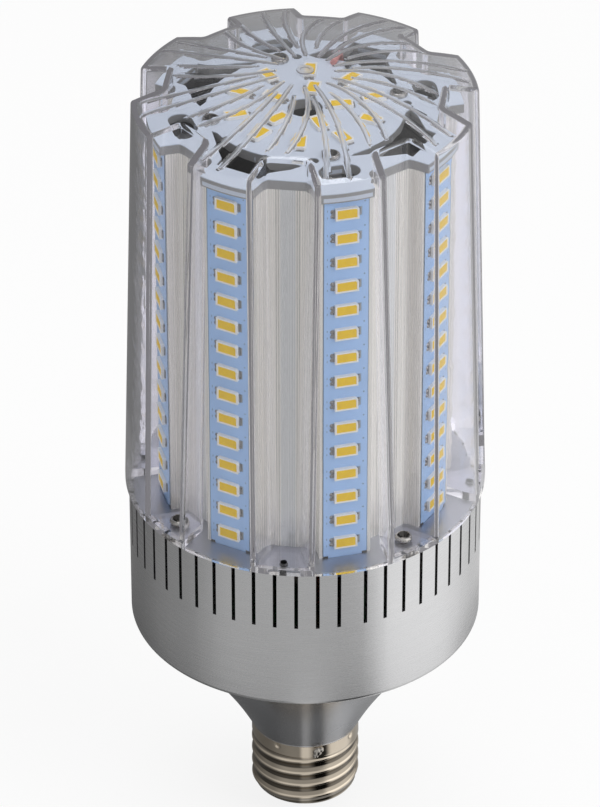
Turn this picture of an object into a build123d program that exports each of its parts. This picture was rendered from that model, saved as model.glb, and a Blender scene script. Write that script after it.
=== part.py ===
"""Screw-base LED retrofit lamp: cap, neck, slotted driver cup, LED heat sink and clear lobed cover.

Millimetres and degrees. The lamp's axis is Z, the origin lies on it at the rim of the screw cap,
and one lobe of the cover faces -Y.
"""

import os
from math import cos, hypot, radians, sin, tan

from build123d import *

# Fits shared by every seat
slide_gap = 0.05
thread_gap = 0.05
pass_gap = 0.2
tap_spare = 1.0

# Screw cap, 26 mm lamp thread measured over its crests
cap_radius = 13.1
cap_wall = 0.35
cap_length = 18.5
cap_lip = 2.6
spigot_length = 4.2
spigot_wall = 2.0
insulator_seat = 1.5
insulator_drop = 3.0
insulator_tip_radius = 5.8
contact_radius = 4.8
contact_height = 2.5
contact_stem_radius = 1.9
contact_stem_height = 0.6

# Neck
neck_height = 34.5
neck_wall = 2.2
neck_step = 0.1
neck_waist_radius = 21.2
neck_waist_height = 14.5
neck_top_radius = 37.0
neck_rim = 1.5
neck_flange = 10.0

# Driver cup
cup_radius = 41.85
cup_height = 38.0
cup_wall = 1.3
cup_floor = 1.5
cup_corner = 1.2
cup_throat_radius = 12.0
slot_count = 52
slot_width = 0.9
slot_depth = 15.6
slot_seam = 8.7
deck_thickness = 1.3
deck_throat_radius = 6.0

# Fasteners, 2.4 mm screws
screw_radius = 1.2
screw_hole_radius = 1.6
head_radius = 2.1
head_height = 1.5
head_bevel = 0.5
recess_radius = 1.1
recess_depth = 0.9
screw_grip = 6.0
post_width = 5.5
post_circle = 22.0
post_stud = 4.0
post_count = 4

# Driver
board_lift = 10.0
board_radius = 37.5
board_thickness = 1.6
part_lift = 0.2
core_place = (0, 13.0)
core_length = 20.0
core_width = 9.0
core_height = 13.0
core_leg = 4.5
capacitor_places = ((-27.0, 5.5), (-27.0, -5.5))
capacitor_radius = 5.0
capacitor_height = 16.0
film_place = (26.0, 0)
film_size = (6.0, 13.0, 11.0)
choke_place = (0, -24.0)
choke_radius = 7.0
choke_bore = 3.0
choke_height = 7.0
rectifier_place = (12.0, -8.0)
rectifier_size = (9.0, 6.5, 3.0)
transistor_place = (-12.0, -5.0)
transistor_size = (10.0, 4.5, 15.0)
fuse_place = (0, -10.5)
fuse_radius = 2.5
fuse_length = 12.0

# Extruded heat sink
lobe_count = 8
land_radius = 34.4
seat_depth = 1.1
sink_wall = 2.3
groove_floor = 30.2
groove_half_width = 5.9
groove_flare = 22.6
groove_fillet = 2.6
port_radius = 3.0
port_web = 2.4

# LED strips and LED packages
strip_width = 10.5
strip_thickness = 1.3
strip_lift = 0.5
tail_width = 8.0
tail_length = 7.0
led_rows = 15
led_pitch = 6.4
led_foot = 4.2
led_head = 3.7
led_length = 5.4
led_width = 3.0
led_height = 0.9
window_length = 4.7
window_width = 2.4
window_depth = 0.15

# Layered plate on top of the heat sink
end_plate_thickness = 1.2
top_board_thickness = 1.3
plate_radius = 36.2
plate_throat_radius = 4.0
disc_radius = 22.6
pocket_outline = (
    (23.3, 10.5), (25.2, 22.5), (27.0, 29.0), (28.8, 34.5), (31.5, 36.0),
    (31.5, 54.0), (28.8, 55.5), (27.0, 61.0), (25.6, 67.5), (23.8, 73.5),
)
oblong_radius = 28.6
oblong_length = 9.8
oblong_width = 5.6
tooling_circle = 23.0
tooling_radius = 1.2
tooling_turn = -10.5
inner_led_radius = 8.2
inner_led_count = 5
inner_led_turn = -81.6
outer_led_radius = 16.0
outer_led_count = 10
outer_led_turn = -73.2

# Clear cover
cover_wall = 1.5
cover_overhang = 0.85
cover_draft = 3.0
cover_headroom = 4.0
cover_edge = 1.0
dome_rise = 6.5
notch_floor_top = 32.3
notch_floor_foot = 33.6
notch_half_top = 4.4
notch_half_foot = 2.7
notch_flare = 22.8
notch_fillet = 1.0
foot_thickness = 1.6
foot_screw_radius = 37.4
foot_screw_count = 4
foot_screw_reach = 1.0
index_circle = 39.4
index_radius = 0.8

# Swirl ribs of the dome: radius and turn of each rib's start, middle and end, for one lobe
rib_height = 0.4
rib_width = 1.0
rib_paths = (
    ((7.0, 3.9), (20.0, 4.6), (37.8, -0.5)),
    ((11.0, -6.5), (22.0, -4.6), (37.4, -8.4)),
    ((11.2, 16.4), (19.0, 18.0), (30.0, 13.4)),
    ((7.0, 28.5), (16.5, 31.6), (30.0, 22.0)),
)
gate_radius = 2.0
gate_height = 0.3

# Wiring
lead_radius = 0.7
lead_bend = 4.0
neutral_offset = 8.0
neutral_drop = 3.0
lead_spread = 2.5
lead_circle = 25.2
lead_end_radius = 20.0
red_turn = 56.0
black_turn = 46.0
feed_thickness = 0.8
feed_width = 1.6
feed_drop = 1.8

# Heights and radii that follow from the sizes above
neck_foot_radius = cap_radius - neck_step
cup_base = neck_height
floor_top = cup_base + cup_floor
deck_top = cup_base + cup_height
deck_under = deck_top - deck_thickness
cup_inside = cup_radius - cup_wall
board_under = floor_top + board_lift
board_top = board_under + board_thickness
part_base = board_top + part_lift
sink_length = (led_rows - 1) * led_pitch + led_foot + led_head
sink_top = deck_top + sink_length
plate_top = sink_top + end_plate_thickness
top_face = plate_top + top_board_thickness
seat_radius = land_radius - seat_depth
face_radius = seat_radius + strip_thickness
tap_radius = screw_radius + thread_gap
lobe_step = 360 / lobe_count
groove_turn = lobe_step / 2
cover_foot_radius = cup_radius + cover_overhang
cover_edge_radius = cover_foot_radius - cover_draft
cover_edge_z = top_face + cover_headroom
cover_top = cover_edge_z + dome_rise
dome_radius = (cover_edge_radius**2 + dome_rise**2) / (2 * dome_rise)
dome_center = cover_top - dome_radius
post_turn = 180 / post_count

os.makedirs("parts", exist_ok=True)


def save(builder, name):
    """Label a finished piece and write it under its node's name."""
    builder.part.label = name
    export_step(builder.part, f"parts/{name}.step")


def lobe_plane(lobe, radius, height):
    """Plane facing outwards on one lobe, with its own Y pointing up; lobe 0 faces -Y."""
    turn = radians(lobe * lobe_step - 90)
    outward = (cos(turn), sin(turn), 0)
    sideways = (-sin(turn), cos(turn), 0)
    return Plane(origin=(radius * cos(turn), radius * sin(turn), height), x_dir=sideways, z_dir=outward)


def on_circle(radius, turn, height):
    """Point at a radius and a turn from +X."""
    return (radius * cos(radians(turn)), radius * sin(radians(turn)), height)


def pan_screws(head_base, grip, points):
    """Group of pan-head screws pointing down, each with a round driver recess."""
    with BuildPart() as screws:
        with BuildSketch(Plane.XY.offset(head_base)):
            with Locations(points):
                Circle(head_radius)
        extrude(amount=head_height)
        chamfer(screws.edges().group_by(Axis.Z)[-1], head_bevel)
        with BuildSketch(Plane.XY.offset(head_base)):
            with Locations(points):
                Circle(screw_radius)
        extrude(amount=-grip)
        with BuildSketch(Plane.XY.offset(head_base + head_height)):
            with Locations(points):
                Circle(recess_radius)
        extrude(amount=-recess_depth, mode=Mode.SUBTRACT)
    return screws


def ring_points(radius, count, start):
    """Points evenly spaced round the axis."""
    return [on_circle(radius, start + index * 360 / count, 0)[:2] for index in range(count)]


post_points = ring_points(post_circle, post_count, post_turn)
port_points = ring_points(post_circle, post_count, 0)
foot_points = ring_points(foot_screw_radius, foot_screw_count, groove_turn)
index_points = ring_points(index_circle, foot_screw_count, -groove_turn)

# Screw cap: shell with its lower edge turned in over the insulator
with BuildPart() as screw_shell:
    with BuildSketch(Plane.XZ):
        with BuildLine():
            Polyline(
                (cap_radius, 0),
                (cap_radius, -cap_length),
                (cap_radius - cap_lip, -cap_length),
                (cap_radius - cap_lip, cap_wall - cap_length),
                (cap_radius - cap_wall, cap_wall - cap_length),
                (cap_radius - cap_wall, 0),
                close=True,
            )
        make_face()
    revolve(axis=Axis.Z)
save(screw_shell, "screw_shell")

insulator_top = cap_wall - cap_length + insulator_seat
insulator_foot = -cap_length - insulator_drop
contact_hole = contact_stem_radius + slide_gap
with BuildPart() as base_insulator:
    with BuildSketch(Plane.XZ):
        with BuildLine():
            Polyline(
                (contact_hole, insulator_top),
                (cap_radius - cap_wall - slide_gap, insulator_top),
                (cap_radius - cap_wall - slide_gap, cap_wall - cap_length),
                (cap_radius - cap_lip - slide_gap, cap_wall - cap_length),
                (cap_radius - cap_lip - slide_gap, -cap_length),
                (insulator_tip_radius, insulator_foot),
                (contact_hole, insulator_foot),
                close=True,
            )
        make_face()
    revolve(axis=Axis.Z)
save(base_insulator, "base_insulator")

contact_stem_top = insulator_top + contact_stem_height
contact_sphere = (contact_radius**2 + contact_height**2) / (2 * contact_height)
contact_center = insulator_foot - contact_height + contact_sphere
with BuildPart() as center_contact:
    with BuildSketch(Plane.XZ):
        with BuildLine():
            Polyline(
                (0, insulator_foot - contact_height),
                (0, contact_stem_top),
                (contact_stem_radius, contact_stem_top),
                (contact_stem_radius, insulator_foot),
                (contact_radius, insulator_foot),
            )
            ThreePointArc(
                (contact_radius, insulator_foot),
                (contact_radius / 2, contact_center - (contact_sphere**2 - contact_radius**2 / 4) ** 0.5),
                (0, insulator_foot - contact_height),
            )
        make_face()
    revolve(axis=Axis.Z)
save(center_contact, "center_contact")

# Neck: hollow flared funnel with a spigot in the cap and a thick flange under the cup
spigot_radius = cap_radius - cap_wall - slide_gap
spigot_bore = spigot_radius - spigot_wall
flange_under = neck_height - neck_flange
with BuildPart() as neck:
    with BuildSketch(Plane.XZ):
        with BuildLine():
            Polyline((spigot_bore, -spigot_length), (spigot_radius, -spigot_length), (spigot_radius, 0))
            Line((spigot_radius, 0), (neck_foot_radius, 0))
            ThreePointArc(
                (neck_foot_radius, 0),
                (neck_waist_radius, neck_waist_height),
                (neck_top_radius, neck_height - neck_rim),
            )
            Polyline(
                (neck_top_radius, neck_height - neck_rim),
                (neck_top_radius, neck_height),
                (cup_throat_radius, neck_height),
                (cup_throat_radius, flange_under),
                (neck_waist_radius - neck_wall, flange_under),
                (spigot_bore, neck_wall),
                (spigot_bore, -spigot_length),
            )
        make_face()
    revolve(axis=Axis.Z)
    with BuildSketch(Plane.XY.offset(neck_height)):
        with Locations(post_points):
            Circle(tap_radius)
    extrude(amount=-post_stud, mode=Mode.SUBTRACT)
save(neck, "neck")

# Driver cup with the row of slots that leaves one wider land at the seam
with BuildPart() as housing_cup:
    with BuildSketch(Plane.XY.offset(cup_base)):
        Circle(cup_radius)
    extrude(amount=cup_height)
    fillet(housing_cup.edges().group_by(Axis.Z)[0], cup_corner)
    with BuildSketch(Plane.XY.offset(floor_top)):
        Circle(cup_inside)
    extrude(amount=cup_height, mode=Mode.SUBTRACT)
    with BuildSketch(Plane.XY.offset(cup_base)):
        Circle(cup_throat_radius)
        with Locations(post_points):
            Circle(screw_hole_radius)
    extrude(amount=cup_floor, mode=Mode.SUBTRACT)
    with BuildSketch(Plane.XY.offset(deck_top)):
        first_slot = slot_seam / 2 - 90
        with PolarLocations(cup_radius, slot_count, first_slot, 360 - slot_seam, endpoint=True):
            Rectangle(4 * cup_wall, slot_width)
    extrude(amount=-slot_depth, mode=Mode.SUBTRACT)
save(housing_cup, "housing_cup")

# Posts: the lower ones hold the neck and the driver board, the upper ones hold the deck
with BuildPart() as lower_posts:
    with BuildSketch(Plane.XY.offset(floor_top)):
        with Locations(post_points):
            RegularPolygon(post_width / 2, 6, major_radius=False)
    extrude(amount=board_lift)
    with BuildSketch(Plane.XY.offset(floor_top)):
        with Locations(post_points):
            Circle(screw_radius)
    extrude(amount=-(post_stud + cup_floor) + thread_gap)
    with BuildSketch(Plane.XY.offset(board_under)):
        with Locations(post_points):
            Circle(tap_radius)
    extrude(amount=-(post_stud + tap_spare), mode=Mode.SUBTRACT)
save(lower_posts, "lower_posts")

with BuildPart() as deck_posts:
    with BuildSketch(Plane.XY.offset(board_top)):
        with Locations(post_points):
            RegularPolygon(post_width / 2, 6, major_radius=False)
    extrude(amount=deck_under - board_top)
    with BuildSketch(Plane.XY.offset(board_top)):
        with Locations(post_points):
            Circle(screw_radius)
    extrude(amount=-(post_stud + board_thickness))
    with BuildSketch(Plane.XY.offset(deck_under)):
        with Locations(post_points):
            Circle(tap_radius)
    extrude(amount=-(screw_grip + tap_spare), mode=Mode.SUBTRACT)
save(deck_posts, "deck_posts")

save(pan_screws(deck_top, deck_thickness + screw_grip, post_points), "deck_screws")

# Deck plate that closes the cup and carries heat sink and cover
with BuildPart() as deck_plate:
    with BuildSketch(Plane.XY.offset(deck_under)):
        Circle(cup_inside - slide_gap)
        Circle(deck_throat_radius, mode=Mode.SUBTRACT)
        with Locations(post_points + port_points):
            Circle(screw_hole_radius, mode=Mode.SUBTRACT)
        with Locations(foot_points):
            Circle(tap_radius, mode=Mode.SUBTRACT)
        with PolarLocations(seat_radius + strip_thickness / 2, lobe_count):
            Rectangle(strip_thickness + 2 * pass_gap, tail_width + 2 * pass_gap, mode=Mode.SUBTRACT)
    extrude(amount=deck_thickness)
save(deck_plate, "deck_plate")


# Heat sink and the plates on top of it share the same grooves
def cut_grooves(sketch, growth=0):
    """Cut the eight flared grooves from a section and round the corners of their floors."""
    floor = groove_floor - growth
    half = groove_half_width + growth * (1 / cos(radians(groove_flare)) - tan(radians(groove_flare)))
    reach = 2 * groove_floor
    outer_half = half + (reach - floor) * tan(radians(groove_flare))
    with PolarLocations(0, lobe_count, start_angle=groove_turn):
        outline = [(floor, -half), (reach, -outer_half), (reach, outer_half), (floor, half)]
        Polygon(*outline, align=None, mode=Mode.SUBTRACT)
    corner = hypot(floor, half)
    corners = [v for v in sketch.vertices() if abs(hypot(v.X, v.Y) - corner) < 0.01]
    fillet(corners, groove_fillet)


with BuildSketch() as sink_core:
    RegularPolygon(land_radius - seat_depth - sink_wall, lobe_count, major_radius=False, rotation=groove_turn)
    cut_grooves(sink_core, sink_wall)
    with PolarLocations(0, post_count):
        with Locations((post_circle + land_radius / 2, 0)):
            Rectangle(land_radius, port_web, mode=Mode.SUBTRACT)
    with Locations(port_points):
        Circle(port_radius, mode=Mode.SUBTRACT)

with BuildPart() as heat_sink:
    with BuildSketch(Plane.XY.offset(deck_top)) as sink_section:
        RegularPolygon(land_radius, lobe_count, major_radius=False, rotation=groove_turn)
        cut_grooves(sink_section)
        with PolarLocations(land_radius - seat_depth / 2, lobe_count):
            Rectangle(seat_depth, strip_width + 2 * slide_gap, mode=Mode.SUBTRACT)
        add(sink_core.sketch, mode=Mode.SUBTRACT)
        with Locations(port_points):
            Circle(tap_radius, mode=Mode.SUBTRACT)
    extrude(amount=sink_length)
save(heat_sink, "heat_sink")

# Screws from below, through the deck into the ports of the heat sink
with BuildPart() as sink_screws:
    add(pan_screws(0, deck_thickness + screw_grip, port_points).part, rotation=(180, 0, 0))
sink_screws.part.position = (0, 0, deck_under)
save(sink_screws, "sink_screws")

# Eight LED strips, each with its fifteen packages
first_led = deck_top + led_foot
led_span = (led_rows - 1) * led_pitch
for lobe in range(lobe_count):
    with BuildPart() as strip_board:
        with BuildSketch(lobe_plane(lobe, seat_radius, deck_top + strip_lift)):
            Rectangle(strip_width, sink_length - strip_lift, align=(Align.CENTER, Align.MIN))
            Rectangle(tail_width, tail_length, align=(Align.CENTER, Align.MAX))
        extrude(amount=strip_thickness)
    save(strip_board, f"strip_board_{lobe + 1}")

    with BuildPart() as strip_leds:
        with BuildSketch(lobe_plane(lobe, face_radius, first_led + led_span / 2)):
            with GridLocations(0, led_pitch, 1, led_rows):
                Rectangle(led_length, led_width)
        extrude(amount=led_height)
        with BuildSketch(lobe_plane(lobe, face_radius + led_height, first_led + led_span / 2)):
            with GridLocations(0, led_pitch, 1, led_rows):
                Rectangle(window_length, window_width)
        extrude(amount=-window_depth, mode=Mode.SUBTRACT)
    save(strip_leds, f"strip_leds_{lobe + 1}")


# Layered plate: metal end plate with the LED board on it, both with the same cut-outs
def plate(base, thickness):
    """Scalloped plate with a central disc, four spokes and four crescent pockets."""
    with BuildPart() as layer:
        with BuildSketch() as pockets:
            with PolarLocations(0, post_count):
                Polygon(*[on_circle(radius, turn, 0)[:2] for radius, turn in pocket_outline], align=None)
            Circle(disc_radius, mode=Mode.SUBTRACT)
        with BuildSketch(Plane.XY.offset(base)) as outline:
            Circle(plate_radius)
            cut_grooves(outline)
            Circle(plate_throat_radius, mode=Mode.SUBTRACT)
            add(pockets.sketch, mode=Mode.SUBTRACT)
            with PolarLocations(oblong_radius, post_count):
                SlotOverall(oblong_length, oblong_width, rotation=90, mode=Mode.SUBTRACT)
            with Locations(port_points):
                Circle(screw_hole_radius, mode=Mode.SUBTRACT)
            with Locations(ring_points(tooling_circle, post_count, tooling_turn)):
                Circle(tooling_radius, mode=Mode.SUBTRACT)
        extrude(outline.sketch, amount=thickness)
    return layer


save(plate(sink_top, end_plate_thickness), "end_plate")
save(plate(plate_top, top_board_thickness), "top_board")
stack = end_plate_thickness + top_board_thickness
save(pan_screws(top_face, stack + screw_grip, port_points), "board_screws")

led_rings = (
    (inner_led_radius, inner_led_count, inner_led_turn),
    (outer_led_radius, outer_led_count, outer_led_turn),
)
with BuildPart() as top_leds:
    with BuildSketch(Plane.XY.offset(top_face)):
        for radius, count, turn in led_rings:
            with PolarLocations(radius, count, start_angle=turn):
                Rectangle(led_length, led_width)
    extrude(amount=led_height)
    with BuildSketch(Plane.XY.offset(top_face + led_height)):
        for radius, count, turn in led_rings:
            with PolarLocations(radius, count, start_angle=turn):
                Rectangle(window_length, window_width)
    extrude(amount=-window_depth, mode=Mode.SUBTRACT)
save(top_leds, "top_leds")


# Clear cover: a domed tapering shell, fluted by eight notches that run down to flat feet
def cover_profile(inset):
    """Half section of the cover's outside, or of its inside when inset by the wall."""
    foot = cover_foot_radius - inset
    slope = cover_draft / (cover_edge_z - deck_top)
    sphere = dome_radius - inset
    edge = cover_edge_radius - inset
    edge_z = dome_center + (sphere**2 - edge**2) ** 0.5
    base = deck_top - inset
    with BuildSketch(Plane.XZ) as section:
        with BuildLine():
            Polyline((0, dome_center + sphere), (0, base), (foot + slope * inset, base), (edge, edge_z))
            ThreePointArc(
                (edge, edge_z),
                (edge / 2, dome_center + (sphere**2 - edge**2 / 4) ** 0.5),
                (0, dome_center + sphere),
            )
        make_face()
        fillet(section.vertices().group_by(Axis.X)[-2], cover_edge)
    return section.sketch


def notch_points(height, growth):
    """Section of one notch at a height, along +X, grown by a wall on its three sides."""
    share = (height - deck_top) / (cover_edge_z - deck_top)
    flare = tan(radians(notch_flare))
    floor = notch_floor_foot + share * (notch_floor_top - notch_floor_foot) - growth
    half = notch_half_foot + share * (notch_half_top - notch_half_foot)
    half += growth * (1 / cos(radians(notch_flare)) - flare)
    reach = 1.5 * cover_foot_radius
    outer_half = half + (reach - floor) * flare
    return [(floor, -half), (reach, -outer_half), (reach, outer_half), (floor, half)]


def notch_block(base, growth):
    """Tapering block that fills one notch from a base height to above the dome."""
    head = cover_top + cover_wall
    with BuildPart() as block:
        for height in (base, head):
            with BuildSketch(Plane.XY.offset(height)):
                Polygon(*notch_points(height, growth), align=None)
        loft()
        upright = block.edges().filter_by(lambda edge: edge.length > (head - base) / 2)
        fillet(upright.sort_by_distance((0, 0, (base + head) / 2))[:2], notch_fillet + growth)
    return block


notch = notch_block(deck_top + foot_thickness, 0)
notch_wall = notch_block(deck_top - 2 * cover_wall, cover_wall)

with BuildPart() as cover_inside:
    revolve(cover_profile(cover_wall), axis=Axis.Z)
    with PolarLocations(0, lobe_count, start_angle=groove_turn):
        add(notch_wall.part, mode=Mode.SUBTRACT)

with BuildPart() as swirl_ribs:
    for path in rib_paths:
        with BuildSketch(Plane.XY.offset(cover_edge_z - dome_rise)) as rib_plan:
            with BuildLine():
                ThreePointArc(*[on_circle(radius, turn, 0)[:2] for radius, turn in path])
            trace(line_width=rib_width)
        for lobe in range(lobe_count):
            extrude(rib_plan.sketch.rotate(Axis.Z, lobe * lobe_step), amount=3 * dome_rise)
    with Locations((0, 0, dome_center)):
        Sphere(dome_radius + rib_height, mode=Mode.INTERSECT)
        Sphere(dome_radius - cover_wall / 2, mode=Mode.SUBTRACT)

with BuildPart() as cover:
    revolve(cover_profile(0), axis=Axis.Z)
    with PolarLocations(0, lobe_count, start_angle=groove_turn):
        add(notch.part, mode=Mode.SUBTRACT)
    add(cover_inside.part, mode=Mode.SUBTRACT)
    with BuildSketch(Plane.XY.offset(deck_top)):
        with Locations(foot_points):
            Circle(screw_hole_radius)
        with Locations(index_points):
            Circle(index_radius)
    extrude(amount=foot_thickness, mode=Mode.SUBTRACT)
    add(swirl_ribs.part)
    with BuildSketch(Plane.XY.offset(cover_top - cover_wall / 2)):
        Circle(gate_radius)
    extrude(amount=cover_wall / 2 + gate_height)
save(cover, "cover")

foot_grip = foot_thickness + deck_thickness + foot_screw_reach
save(pan_screws(deck_top + foot_thickness, foot_grip, foot_points), "cover_screws")

# Driver parts on their board
with BuildPart() as driver_board:
    with BuildSketch(Plane.XY.offset(board_under)):
        Circle(board_radius)
        with Locations(post_points):
            Circle(screw_hole_radius, mode=Mode.SUBTRACT)
    extrude(amount=board_thickness)
save(driver_board, "driver_board")

with BuildPart() as transformer_core:
    with BuildSketch(Plane.XY.offset(part_base)):
        with Locations(core_place):
            Rectangle(core_length, core_width)
    extrude(amount=core_height)
    with BuildSketch(Plane.XZ.offset(-core_place[1] - core_width / 2)):
        with Locations((core_place[0], part_base + core_height / 2)):
            Rectangle(core_length - core_leg, core_height - core_leg)
            Rectangle(core_leg, core_height - core_leg, mode=Mode.SUBTRACT)
    extrude(amount=core_width, mode=Mode.SUBTRACT)
save(transformer_core, "transformer_core")

with BuildPart() as transformer_winding:
    with BuildSketch(Plane.XY.offset(part_base + core_leg / 2 + slide_gap)):
        with Locations(core_place):
            Rectangle(core_length - core_leg - 2 * slide_gap, core_width + 2 * core_leg)
            Rectangle(core_leg + 2 * slide_gap, core_width + 2 * slide_gap, mode=Mode.SUBTRACT)
    extrude(amount=core_height - core_leg - 2 * slide_gap)
save(transformer_winding, "transformer_winding")

with BuildPart() as bulk_capacitors:
    with BuildSketch(Plane.XY.offset(part_base)):
        with Locations(*capacitor_places):
            Circle(capacitor_radius)
    extrude(amount=capacitor_height)
save(bulk_capacitors, "bulk_capacitors")

with BuildPart() as line_choke:
    with BuildSketch(Plane.XY.offset(part_base)):
        with Locations(choke_place):
            Circle(choke_radius)
            Circle(choke_bore, mode=Mode.SUBTRACT)
    extrude(amount=choke_height)
save(line_choke, "line_choke")

block_parts = (
    ("film_capacitor", film_place, film_size),
    ("rectifier", rectifier_place, rectifier_size),
    ("power_transistor", transistor_place, transistor_size),
)
for name, place, (length, width, height) in block_parts:
    with BuildPart() as block_part:
        with BuildSketch(Plane.XY.offset(part_base)):
            with Locations(place):
                Rectangle(length, width)
        extrude(amount=height)
    save(block_part, name)

with BuildPart() as fuse:
    with BuildSketch(Plane.YZ.offset(fuse_place[0] - fuse_length / 2)):
        with Locations((fuse_place[1], part_base + fuse_radius)):
            Circle(fuse_radius)
    extrude(amount=fuse_length)
save(fuse, "fuse")


# Wiring
def lead(name, radius, points, bends):
    """Round wire along straight runs joined by tangent arcs."""
    with BuildPart() as wire:
        with BuildLine() as route:
            FilletPolyline(*points, radius=bends)
        with BuildSketch(Plane(origin=route.line @ 0, z_dir=route.line % 0)):
            Circle(radius)
        sweep()
    save(wire, name)


with BuildPart() as base_lead_line:
    with BuildSketch(Plane.XY.offset(contact_stem_top)):
        Circle(lead_radius)
    extrude(amount=board_under - contact_stem_top)
save(base_lead_line, "base_lead_line")

neutral_start = -spigot_length - neutral_drop
lead(
    "base_lead_neutral",
    lead_radius,
    [
        (cap_radius - cap_wall - slide_gap, 0, neutral_start),
        (neutral_offset, 0, neutral_start),
        (neutral_offset, 0, board_under),
    ],
    2 * lead_radius,
)

lead_top = top_face + lead_radius
led_leads = (("led_lead_red", lead_spread, red_turn), ("led_lead_black", -lead_spread, black_turn))
for name, side, turn in led_leads:
    lead(
        name,
        lead_radius,
        [
            (side, 0, board_top),
            (side, 0, deck_top + sink_length / 4),
            on_circle(lead_circle, turn, deck_top + sink_length * 3 / 4),
            on_circle(lead_circle, turn, lead_top),
            on_circle(lead_end_radius, turn, lead_top),
        ],
        [lead_bend, lead_bend, 2 * lead_radius],
    )

# Two bus rings feed the strips: one on the outer faces of their tails, one on the inner faces
feed_height = deck_under - feed_drop
outer_feed = hypot(face_radius, tail_width / 2) + slide_gap
inner_feed = seat_radius - feed_thickness - slide_gap
for name, circle in (("strip_feed_plus", outer_feed), ("strip_feed_minus", inner_feed)):
    with BuildPart() as feed:
        with BuildSketch(Plane.XY.offset(feed_height)):
            Circle(circle + feed_thickness)
            Circle(circle, mode=Mode.SUBTRACT)
        extrude(amount=-feed_width)
        with BuildSketch(Plane.XY.offset(board_top)):
            with Locations(on_circle(circle + feed_thickness / 2, -groove_turn, 0)[:2]):
                Rectangle(feed_thickness / 2, feed_thickness / 2)
        extrude(amount=feed_height - feed_width / 2 - board_top)
    save(feed, name)
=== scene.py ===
"""Looks of the screw-base LED lamp: fine pieces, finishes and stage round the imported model.

Metres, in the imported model's own frame: the lamp's axis is Z, the cap's rim lies at Z = 0 and one
lobe of the clear cover faces -Y.
"""

from math import atan2, cos, hypot, pi, radians, sin, sqrt, tan

import bmesh
import bpy
from bpy.props import FloatProperty, FloatVectorProperty, PointerProperty
from mathutils import Matrix, Vector


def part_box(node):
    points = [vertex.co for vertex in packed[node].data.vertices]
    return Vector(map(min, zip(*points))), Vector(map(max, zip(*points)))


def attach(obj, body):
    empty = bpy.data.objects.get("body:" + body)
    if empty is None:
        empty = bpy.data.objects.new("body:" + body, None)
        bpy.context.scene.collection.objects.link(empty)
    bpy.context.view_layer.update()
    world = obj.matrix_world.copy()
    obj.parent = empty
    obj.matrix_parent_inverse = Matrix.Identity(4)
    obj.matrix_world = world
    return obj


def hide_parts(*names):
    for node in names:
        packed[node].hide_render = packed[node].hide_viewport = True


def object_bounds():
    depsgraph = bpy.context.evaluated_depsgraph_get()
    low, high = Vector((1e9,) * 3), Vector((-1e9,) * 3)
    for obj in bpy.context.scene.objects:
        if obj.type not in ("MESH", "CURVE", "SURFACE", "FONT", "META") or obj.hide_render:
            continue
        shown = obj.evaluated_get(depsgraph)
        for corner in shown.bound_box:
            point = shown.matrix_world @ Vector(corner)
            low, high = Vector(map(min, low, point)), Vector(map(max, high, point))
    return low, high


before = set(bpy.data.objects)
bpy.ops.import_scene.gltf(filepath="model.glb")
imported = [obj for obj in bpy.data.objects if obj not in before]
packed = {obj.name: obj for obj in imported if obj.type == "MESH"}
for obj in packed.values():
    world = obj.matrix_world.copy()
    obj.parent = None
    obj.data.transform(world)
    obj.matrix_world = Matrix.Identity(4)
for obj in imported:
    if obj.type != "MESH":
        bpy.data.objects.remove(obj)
packed_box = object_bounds()

bl_info = {
    "name": "LED Lamp Looks",
    "version": (1, 0, 0),
    "blender": (4, 5, 0),
    "location": "3D View > Sidebar > LED Lamp",
    "description": "Builds the fine pieces, finishes and stage of a screw-base LED lamp",
    "category": "Object",
}

MM = 0.001
LOBES = 8
LOBE_STEP = 2 * pi / LOBES
COVER_DRAFT = 3.0 * MM
DOME_FOOT = 104.0 * MM
DOME_RISE = 6.5 * MM
INDEX_CIRCLE = 39.4 * MM
INDEX_TURN = radians(-22.5)

cap_low, cap_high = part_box("screw_shell")
cover_low, cover_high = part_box("cover")
cup_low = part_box("housing_cup")[0]
board_low, board_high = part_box("top_board")
strip_low, strip_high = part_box("strip_leds_1")


def length(label, note, size):
    """A size in millimetres that a user can change."""
    return FloatProperty(name=label, description=note, default=size * MM, subtype="DISTANCE", unit="LENGTH")


def colour(label, note, shade):
    """A colour that a user can change."""
    return FloatVectorProperty(
        name=label, description=note, default=shade, subtype="COLOR", size=3, min=0, max=1
    )


class LampSizes(bpy.types.PropertyGroup):
    """Sizes of the fine pieces"""

    thread_pitch: length("Thread pitch", "Height of one turn of the cap's thread", 3.63)
    thread_depth: length("Thread depth", "From the thread's crest to its root", 0.8)
    cap_band: length("Cap band", "Height of the plain band above the thread", 3.1)
    dimple_depth: length("Dimple depth", "Depth of the dimples punched into the cap's band", 0.55)
    package_length: length("Package length", "Length of an LED package", 5.4)
    package_width: length("Package width", "Width of an LED package", 3.0)
    package_height: length("Package height", "Height of an LED package", 0.9)
    window_length: length("Window length", "Length of an LED's yellow window", 4.7)
    window_width: length("Window width", "Width of an LED's yellow window", 2.4)
    package_pitch: length("Package pitch", "Distance between packages on a strip", 6.4)
    head_radius: length("Screw head radius", "Radius of the pan heads", 2.1)
    head_height: length("Screw head height", "Height of the pan heads", 1.0)
    cover_wall: length("Cover wall", "Thickness of the clear cover", 1.5)
    cover_edge: length("Cover edge", "Rounding of the cover's upper edge", 1.0)
    cover_corner: length("Cover corner", "Rounding of the upright corners of the lobes", 0.7)
    rib_width: length("Rib width", "Width of the swirl ribs on the dome", 1.05)
    rib_height: length("Rib height", "Height of the swirl ribs on the dome", 0.32)


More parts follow.
